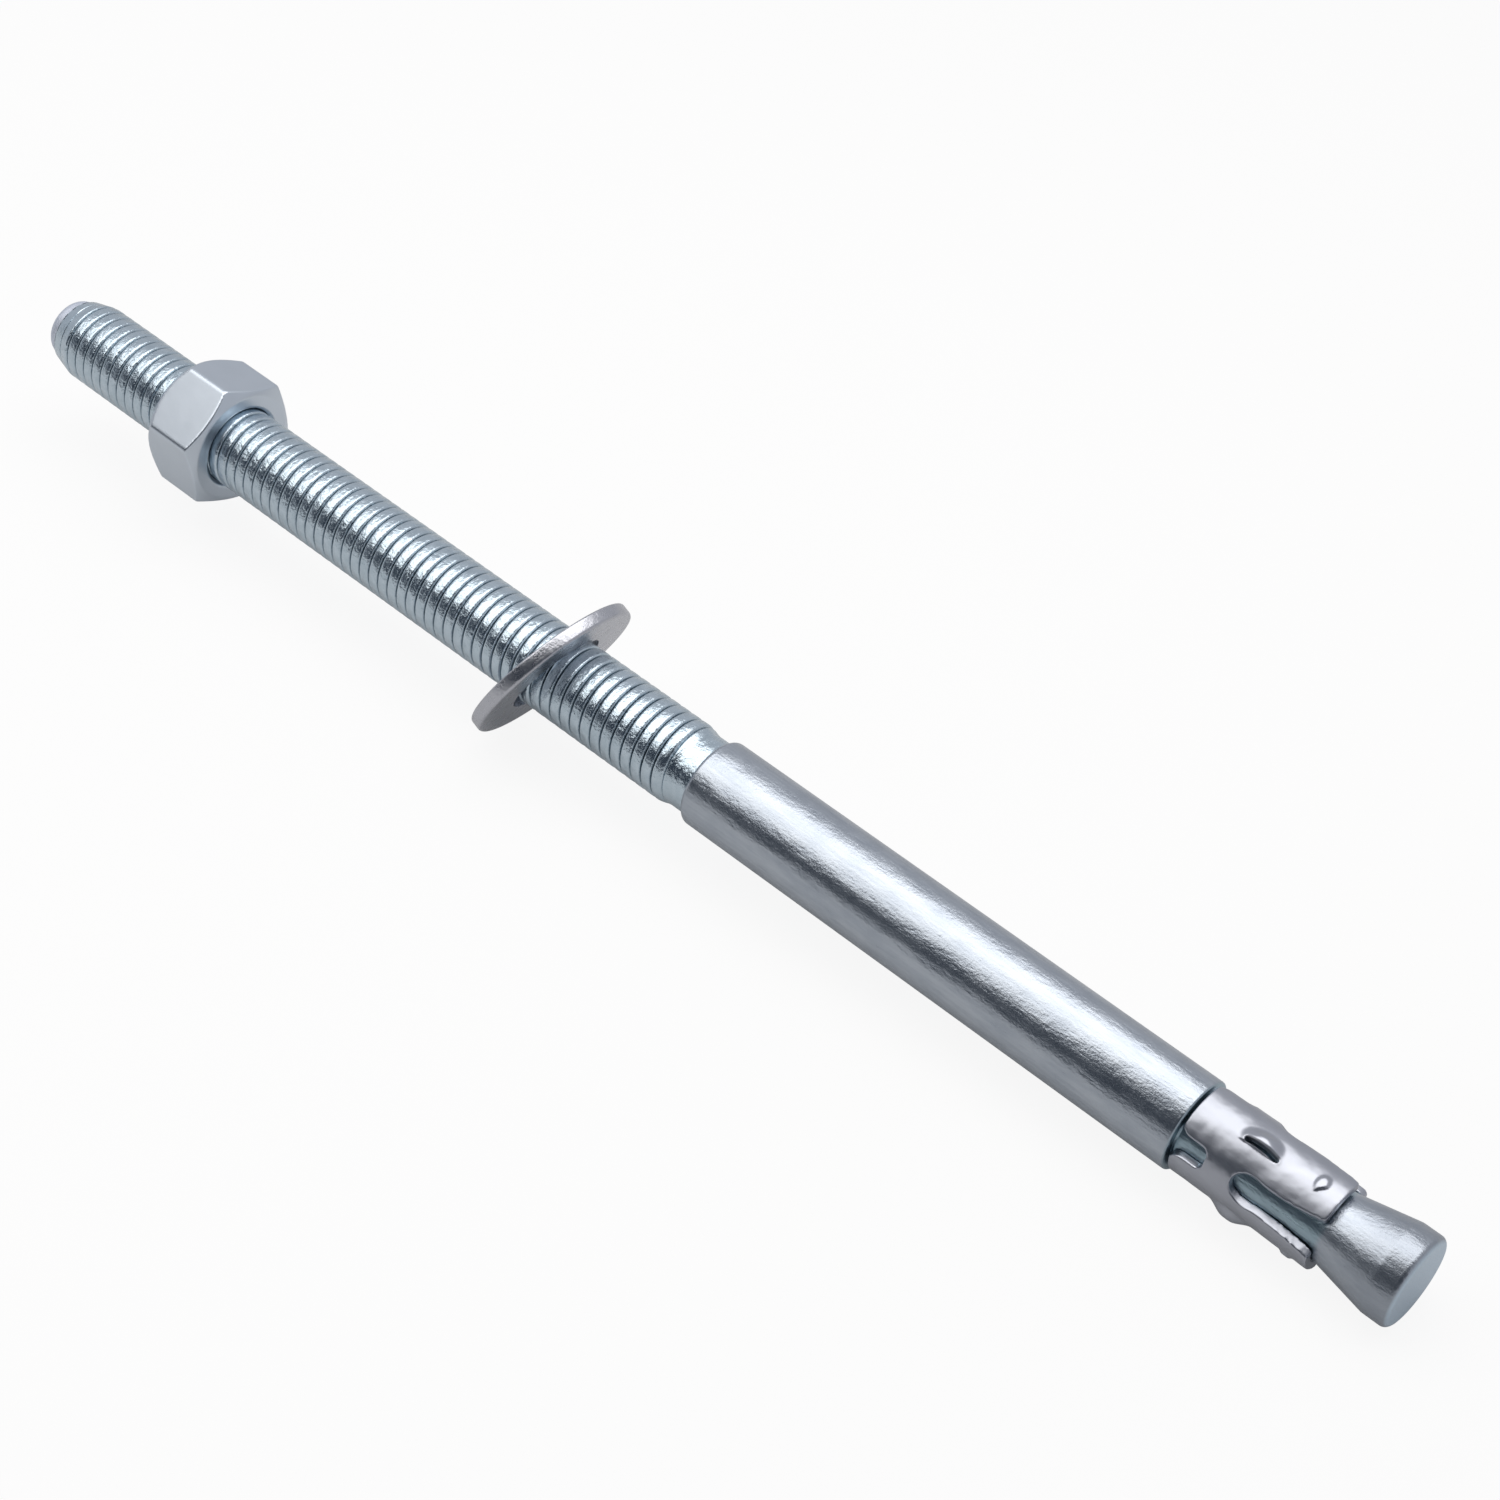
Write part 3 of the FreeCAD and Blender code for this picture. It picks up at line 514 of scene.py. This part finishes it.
def build_washer():
    rolled_edge, sheared_edge, soft_edge, beyond = 0.5, 0.35, 0.12, 3.0
    inside = WASHER_HOLE_RADIUS - 1.0
    stations = [(WASHER_HALF, inside)]
    stations += arc(
        (WASHER_HALF - rolled_edge, WASHER_RADIUS - rolled_edge), rolled_edge, 0.0, 90.0, 6)
    stations += arc(
        (-WASHER_HALF + sheared_edge, WASHER_RADIUS - sheared_edge), sheared_edge,
        90.0, 180.0, 5)
    stations += [(-WASHER_HALF, inside)]
    washer = turned_bar("washer", stations, FINE_ROUND)
    punch = turned_bar("washer_punch", [
        (beyond, WASHER_HOLE_RADIUS), (-beyond, WASHER_HOLE_RADIUS)], FINE_ROUND)
    cut_with(washer, punch)
    add_modifier(
        washer, "BEVEL", width=soft_edge * MM, segments=3, limit_method="ANGLE",
        angle_limit=math.radians(50.0))
    shade(washer, degrees=35.0)
    leaning = Matrix.Translation((WASHER_PLACE * MM, 0, 0)) @ Matrix.Rotation(WASHER_LEAN, 4, "Y")
    settle(washer, LYING @ leaning)
    hand_over(washer, "washer", "flat_washer", washer_zinc())


# Finishes


class Amount:
    """A number that varies over a surface, and the sums that can be done with it."""

    def __init__(self, finish, socket):
        self.finish = finish
        self.socket = socket

    def sum(self, operation, left, right):
        return self.finish.add("ShaderNodeMath", {"operation": operation}, {0: left, 1: right})

    def __add__(self, other):
        return self.sum("ADD", self, other)

    def __radd__(self, other):
        return self.sum("ADD", other, self)

    def __sub__(self, other):
        return self.sum("SUBTRACT", self, other)

    def __rsub__(self, other):
        return self.sum("SUBTRACT", other, self)

    def __mul__(self, other):
        return self.sum("MULTIPLY", self, other)


class Finish:
    """A material, or the world, and its nodes."""

    def __init__(self, owner):
        owner.use_nodes = True
        self.owner = owner
        self.tree = owner.node_tree
        self.tree.nodes.clear()

    def add(self, kind, settings, inputs, output=0):
        """Add one node; its settings first, then the values or links of its sockets."""
        node = self.tree.nodes.new(kind)
        for name, value in settings.items():
            if name == "stops":
                self.set_stops(node.color_ramp, value)
            else:
                setattr(node, name, value)
        for name, value in inputs.items():
            if isinstance(value, Amount):
                self.tree.links.new(value.socket, node.inputs[name])
            else:
                node.inputs[name].default_value = value
        return Amount(self, node.outputs[output]) if node.outputs else None

    @staticmethod
    def set_stops(ramp, stops):
        while len(ramp.elements) < len(stops):
            ramp.elements.new(0.5)
        for element, (position, level) in zip(ramp.elements, stops):
            element.position = position
            element.color = (level, level, level, 1.0)

    def place(self, stretch=(1.0, 1.0, 1.0)):
        """A point on the piece in millimetres along and across the anchor, stretched."""
        where = self.add("ShaderNodeTexCoord", {}, {}, 3)
        upright = LYING.inverted()
        moved = self.add("ShaderNodeMapping", {"vector_type": "POINT"}, {
            "Vector": where, "Location": [x / MM for x in upright.translation],
            "Rotation": (0, -ANCHOR_TILT, 0), "Scale": (1 / MM,) * 3})
        return self.add("ShaderNodeMapping", {}, {"Vector": moved, "Scale": stretch})

    def noise(self, scale, stretch=(1.0, 1.0, 1.0), detail=3.0, roughness=0.55):
        """Soft random variation, at a scale per millimetre."""
        return self.add("ShaderNodeTexNoise", {}, {
            "Vector": self.place(stretch), "Scale": scale, "Detail": detail,
            "Roughness": roughness})

    def ramp(self, amount, *stops):
        return self.add("ShaderNodeValToRGB", {"stops": stops}, {0: amount})

    def blend(self, share, first, second):
        """Mix two colours."""
        return self.add(
            "ShaderNodeMix", {"data_type": "RGBA"}, {0: share, 6: first, 7: second}, 2)

    def along(self):
        return self.add("ShaderNodeSeparateXYZ", {}, {0: self.place()}, 0)

    def metal(self, colour, roughness, height, strength, distance):
        """Bare plated metal with a fine relief."""
        bump = self.add("ShaderNodeBump", {}, {
            "Height": height, "Strength": strength, "Distance": distance})
        surface = self.add("ShaderNodeBsdfPrincipled", {}, {
            "Base Color": colour, "Metallic": 1.0, "Roughness": roughness, "Normal": bump})
        self.add("ShaderNodeOutputMaterial", {}, {"Surface": surface})
        return self.owner


def new_finish(name):
    return Finish(bpy.data.materials.new(name))


def shank_zinc():
    """Satin zinc over a drawn bar: fine lines along it and a soft mottle.

    The cone is darker, partly its own duller tone and partly painted shade where it meets the
    floor; the seat under the clip is teal, and both ends are pale.
    """
    zinc = new_finish("shank_zinc")
    drawn = zinc.noise(2.2, (0.08, 1.0, 1.0), 4.0)
    mottle = zinc.noise(0.35, (0.5, 1.0, 1.0), 5.0, 0.65)
    grain = zinc.noise(3.0, (0.8, 1.0, 1.0))
    share = zinc.ramp(mottle * 0.55 + drawn * 0.45, (0.38, 0.0), (0.62, 1.0))
    bar = zinc.blend(share, (0.39, 0.435, 0.495, 1), (0.49, 0.535, 0.59, 1))
    # Darker towards the cone end: partly the cone's own duller tone, partly painted shade where
    # the cone meets the floor.
    cone_tone_and_shade = zinc.ramp((zinc.along() + 14.0) * 0.1, (0.0, 0.0), (0.9, 1.0))
    bar = zinc.blend(cone_tone_and_shade * 0.4, bar, (0.27, 0.295, 0.335, 1))
    over_seat = (zinc.along() - SEAT_END) * (0.8 / (SEAT_START - SEAT_END)) + 0.1
    seat = zinc.ramp(over_seat, (0.09, 0.0), (0.1, 1.0), (0.9, 1.0), (0.93, 0.0))
    bar = zinc.blend(seat, bar, (0.35, 0.46, 0.52, 1))
    end = zinc.ramp(zinc.along() + 1.0, (0.6, 0.0), (0.95, 1.0))
    bar = zinc.blend(end, bar, (0.58, 0.70, 0.81, 1))
    nose = zinc.ramp((NOSE_START - zinc.along()) * 2.0, (0.3, 0.0), (0.9, 1.0))
    colour = zinc.blend(nose, bar, (0.68, 0.73, 0.82, 1))
    roughness = 0.23 + drawn * 0.06 + mottle * 0.06 + nose * 0.28 + cone_tone_and_shade * 0.06
    height = drawn * 0.5 + mottle * 3.0 + grain * 0.55
    return zinc.metal(colour, roughness, height, 0.8, 0.07 * MM)


def thread_zinc():
    """Bright, slightly teal zinc, hammered by the rolls: pale crests, and painted shade darkening
    the narrow roots.
    """
    zinc = new_finish("thread_zinc")
    mottle = zinc.noise(0.75, detail=4.0, roughness=0.65)
    grain = zinc.noise(2.6)
    root = zinc.add("ShaderNodeAttribute", {"attribute_name": "root"}, {}, 2)
    root_shade = zinc.ramp(root, (0.2, 0.0), (0.8, 1.0))
    pale = zinc.blend(mottle, (0.40, 0.50, 0.57, 1), (0.69, 0.79, 0.87, 1))
    # Painted shade: the roots are darkened by how deep they lie.
    colour = zinc.blend(root_shade, pale, (0.14, 0.18, 0.215, 1))
    roughness = 0.16 + root_shade * 0.15 + mottle * 0.08
    return zinc.metal(colour, roughness, mottle * 2.4 + grain * 0.6, 0.9, 0.08 * MM)


def clip_zinc():
    """Zinc polished by the rolls, with a soft low relief and a faint lavender tint."""
    zinc = new_finish("clip_zinc")
    waves = zinc.noise(0.3, (0.8, 1.0, 1.0), 2.0, 0.5)
    grain = zinc.noise(2.6, (0.6, 1.0, 1.0))
    colour = zinc.blend(waves, (0.38, 0.40, 0.45, 1), (0.50, 0.525, 0.58, 1))
    roughness = 0.32 + grain * 0.05
    return zinc.metal(colour, roughness, waves * 4.0 + grain * 0.1, 0.6, 0.07 * MM)


def washer_zinc():
    """Dull satin zinc on sheet."""
    zinc = new_finish("washer_zinc")
    mottle = zinc.noise(0.5, detail=5.0, roughness=0.65)
    grain = zinc.noise(3.0)
    colour = zinc.blend(mottle, (0.45, 0.465, 0.51, 1), (0.59, 0.605, 0.65, 1))
    roughness = 0.22 + mottle * 0.12
    return zinc.metal(colour, roughness, mottle * 3.0 + grain * 1.0, 0.7, 0.06 * MM)


def nut_zinc():
    """Smooth satin zinc."""
    zinc = new_finish("nut_zinc")
    mottle = zinc.noise(0.25)
    grain = zinc.noise(4.0)
    colour = zinc.blend(mottle, (0.60, 0.665, 0.735, 1), (0.65, 0.715, 0.79, 1))
    roughness = 0.3 + mottle * 0.04
    return zinc.metal(colour, roughness, mottle * 1.0 + grain * 0.2, 0.25, 0.05 * MM)


# The studio


def seen_by(finish, ray):
    """1 for one kind of ray, such as the camera's, and 0 for the others."""
    return finish.add("ShaderNodeLightPath", {}, {}, f"Is {ray} Ray")


def white_floor():
    """White to the camera, with a faint shadow; greyer in reflections, as a table is."""
    floor = Finish(bpy.data.materials.new("white_floor"))
    grey = floor.blend(seen_by(floor, "Glossy"), (0.8, 0.8, 0.8, 1), (0.55, 0.55, 0.55, 1))
    lit = floor.add("ShaderNodeBsdfDiffuse", {}, {"Color": grey})
    glow = floor.add("ShaderNodeEmission", {}, {"Color": (1, 1, 1, 1), "Strength": 1.0})
    share = seen_by(floor, "Camera") * 0.9
    share = share + (seen_by(floor, "Glossy") + seen_by(floor, "Transmission")) * 0.15
    mixed = floor.add("ShaderNodeMixShader", {}, {0: share, 1: lit, 2: glow})
    floor.add("ShaderNodeOutputMaterial", {}, {"Surface": mixed})
    return floor.owner


def build_room():
    """White to the camera; around the anchor a pale room with a dark side in front."""
    world = Finish(bpy.data.worlds.new("studio"))
    direction = world.add("ShaderNodeTexCoord", {}, {}, 0)
    front = Vector((0.08, -0.86, 0.5)).normalized()
    facing = world.add("ShaderNodeVectorMath", {"operation": "DOT_PRODUCT"}, {
        0: direction, 1: front}, 1)
    room = world.blend(
        world.ramp(facing, (0.45, 0.0), (0.68, 1.0)),
        (0.54, 0.545, 0.575, 1), (0.045, 0.055, 0.072, 1))
    seen = seen_by(world, "Camera") + seen_by(world, "Transmission")
    colour = world.blend(seen, room, (1, 1, 1, 1))
    light = world.add("ShaderNodeBackground", {}, {"Color": colour, "Strength": 1.0})
    world.add("ShaderNodeOutputWorld", {}, {"Surface": light})
    bpy.context.scene.world = world.owner


def build_studio():
    bpy.ops.object.select_all(action="DESELECT")
    bpy.ops.mesh.primitive_plane_add(size=6.0, location=(0, 0, 0))
    floor = bpy.context.object
    floor.name = "floor"
    floor.data.materials.append(white_floor())
    build_room()

    bpy.ops.object.light_add(type="AREA", location=(-0.137, -0.07, 0.45))
    softbox = bpy.context.object
    softbox.name = "softbox"
    softbox.data.shape = "RECTANGLE"
    softbox.data.size = 0.92
    softbox.data.size_y = 0.45
    softbox.data.energy = 2.45
    softbox.data.color = (1.0, 0.965, 0.93)
    softbox.rotation_euler = (0, 0, math.radians(52.0))


def build_camera():
    """The photograph's own viewpoint, a little rolled."""
    right = Vector((0.73923926, 0.66735, 0.09036983))
    up = Vector((-0.4867838, 0.43678, 0.75647819))
    back = Vector((0.4653712, -0.60321, 0.64773693))
    lens = bpy.data.cameras.new("camera")
    lens.sensor_width = 36.0
    lens.lens = 73.62
    lens.clip_start = 0.01
    camera = bpy.data.objects.new("camera", lens)
    bpy.context.scene.collection.objects.link(camera)
    turn = Matrix((right, up, back)).transposed().to_4x4()
    camera.matrix_world = Matrix.Translation((0.20794095, -0.248158, 0.2871769)) @ turn
    bpy.context.scene.camera = camera


build_stud()
build_clip()
build_washer()
build_nut()
build_studio()
build_camera()
bpy.context.scene.view_settings.view_transform = "Standard"
